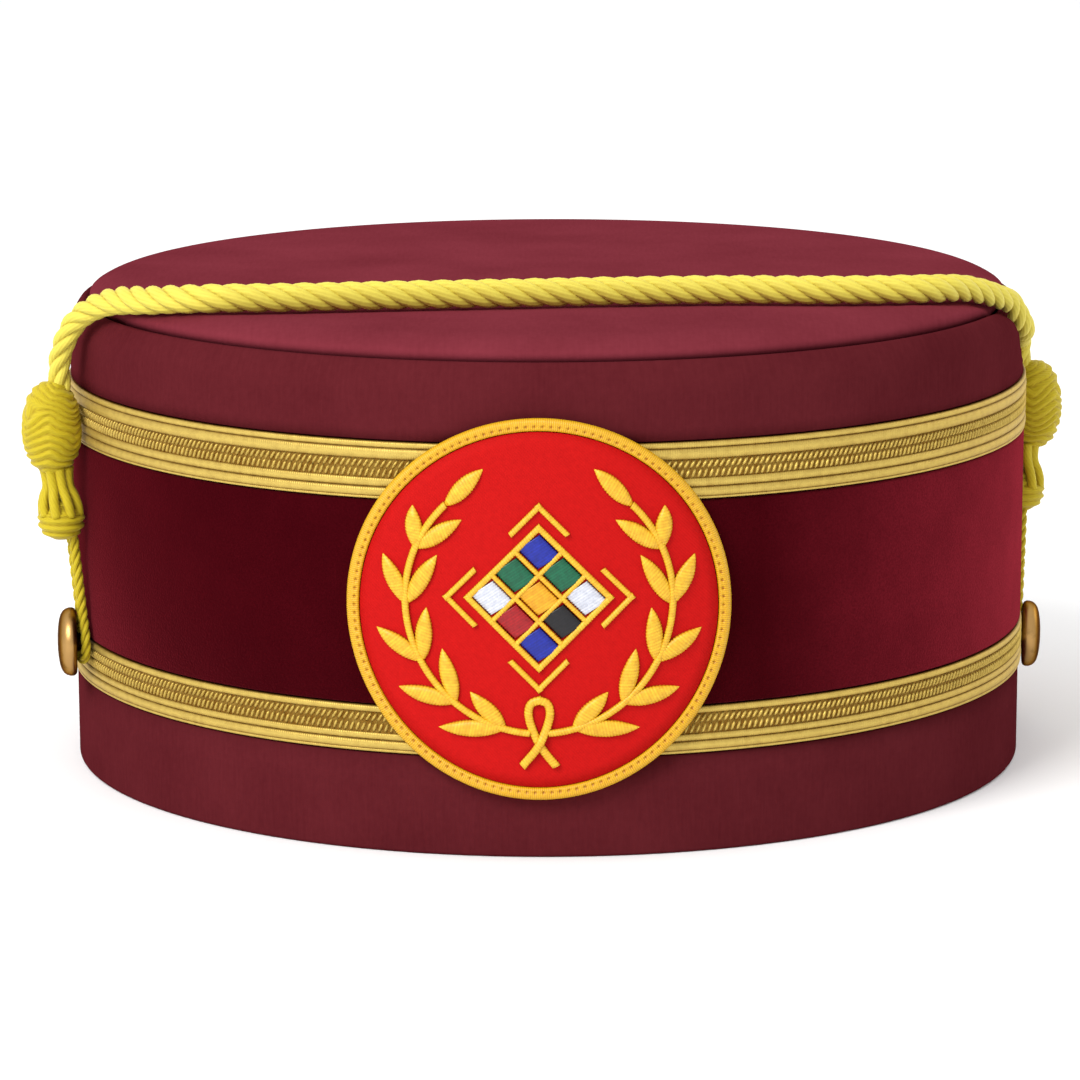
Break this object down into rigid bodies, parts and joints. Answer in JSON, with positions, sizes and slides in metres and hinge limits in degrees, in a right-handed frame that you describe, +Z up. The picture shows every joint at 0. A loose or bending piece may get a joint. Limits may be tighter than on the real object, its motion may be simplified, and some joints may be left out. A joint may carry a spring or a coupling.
{
  "type": "regalia crown cap",
  "caption": "Stiff oval drum cap of maroon cloth with a velvet band between gold braids, an embroidered front badge and a twisted dress cord over the top, worn with formal regalia.",
  "frame": {"origin": "middle of the footprint, on the plane that the rim stands on", "axes": "+Z up, the badge faces -Y, +X is to the right of someone who looks at the badge"},
  "size_m": [0.2008, 0.207, 0.0981],
  "materials": {
    "cloth": "fine ribbed satin cloth",
    "velvet": "dark wine velvet",
    "braid": "woven gold wire braid",
    "red_twill": "red badge twill",
    "gold_thread": "satin stitch",
    "white_thread": "satin stitch",
    "green_thread": "satin stitch",
    "blue_thread": "satin stitch",
    "black_thread": "satin stitch",
    "cord": "twisted yellow cord",
    "brass": "antique brass, soft sheen"
  },
  "bodies": {
    "root": {"crown_side": "cloth", "crown_top": "cloth", "velvet_band": "velvet", "upper_braid": "braid", "lower_braid": "braid", "badge_disc": "red_twill", "badge_border": "gold_thread", "wreath_left": "gold_thread", "wreath_right": "gold_thread", "ribbon_tie": "gold_thread", "lattice_frame": "gold_thread", "lattice_cell_1": "white_thread", "lattice_cell_2": "green_thread", "lattice_cell_3": "blue_thread", "lattice_cell_4": "red_twill", "lattice_cell_5": "gold_thread", "lattice_cell_6": "green_thread", "lattice_cell_7": "blue_thread", "lattice_cell_8": "black_thread", "lattice_cell_9": "white_thread", "chevron_right": "gold_thread", "chevron_top": "gold_thread", "chevron_left": "gold_thread", "chevron_bottom": "gold_thread", "dress_cord": "cord", "cord_loop_left": "cord", "cord_loop_right": "cord", "knot_neck_left": "cord", "knot_neck_right": "cord", "large_knot_left": "cord", "large_knot_right": "cord", "small_knot_left": "cord", "small_knot_right": "cord", "button_left": "brass", "button_right": "brass"}
  },
  "joints": []
}
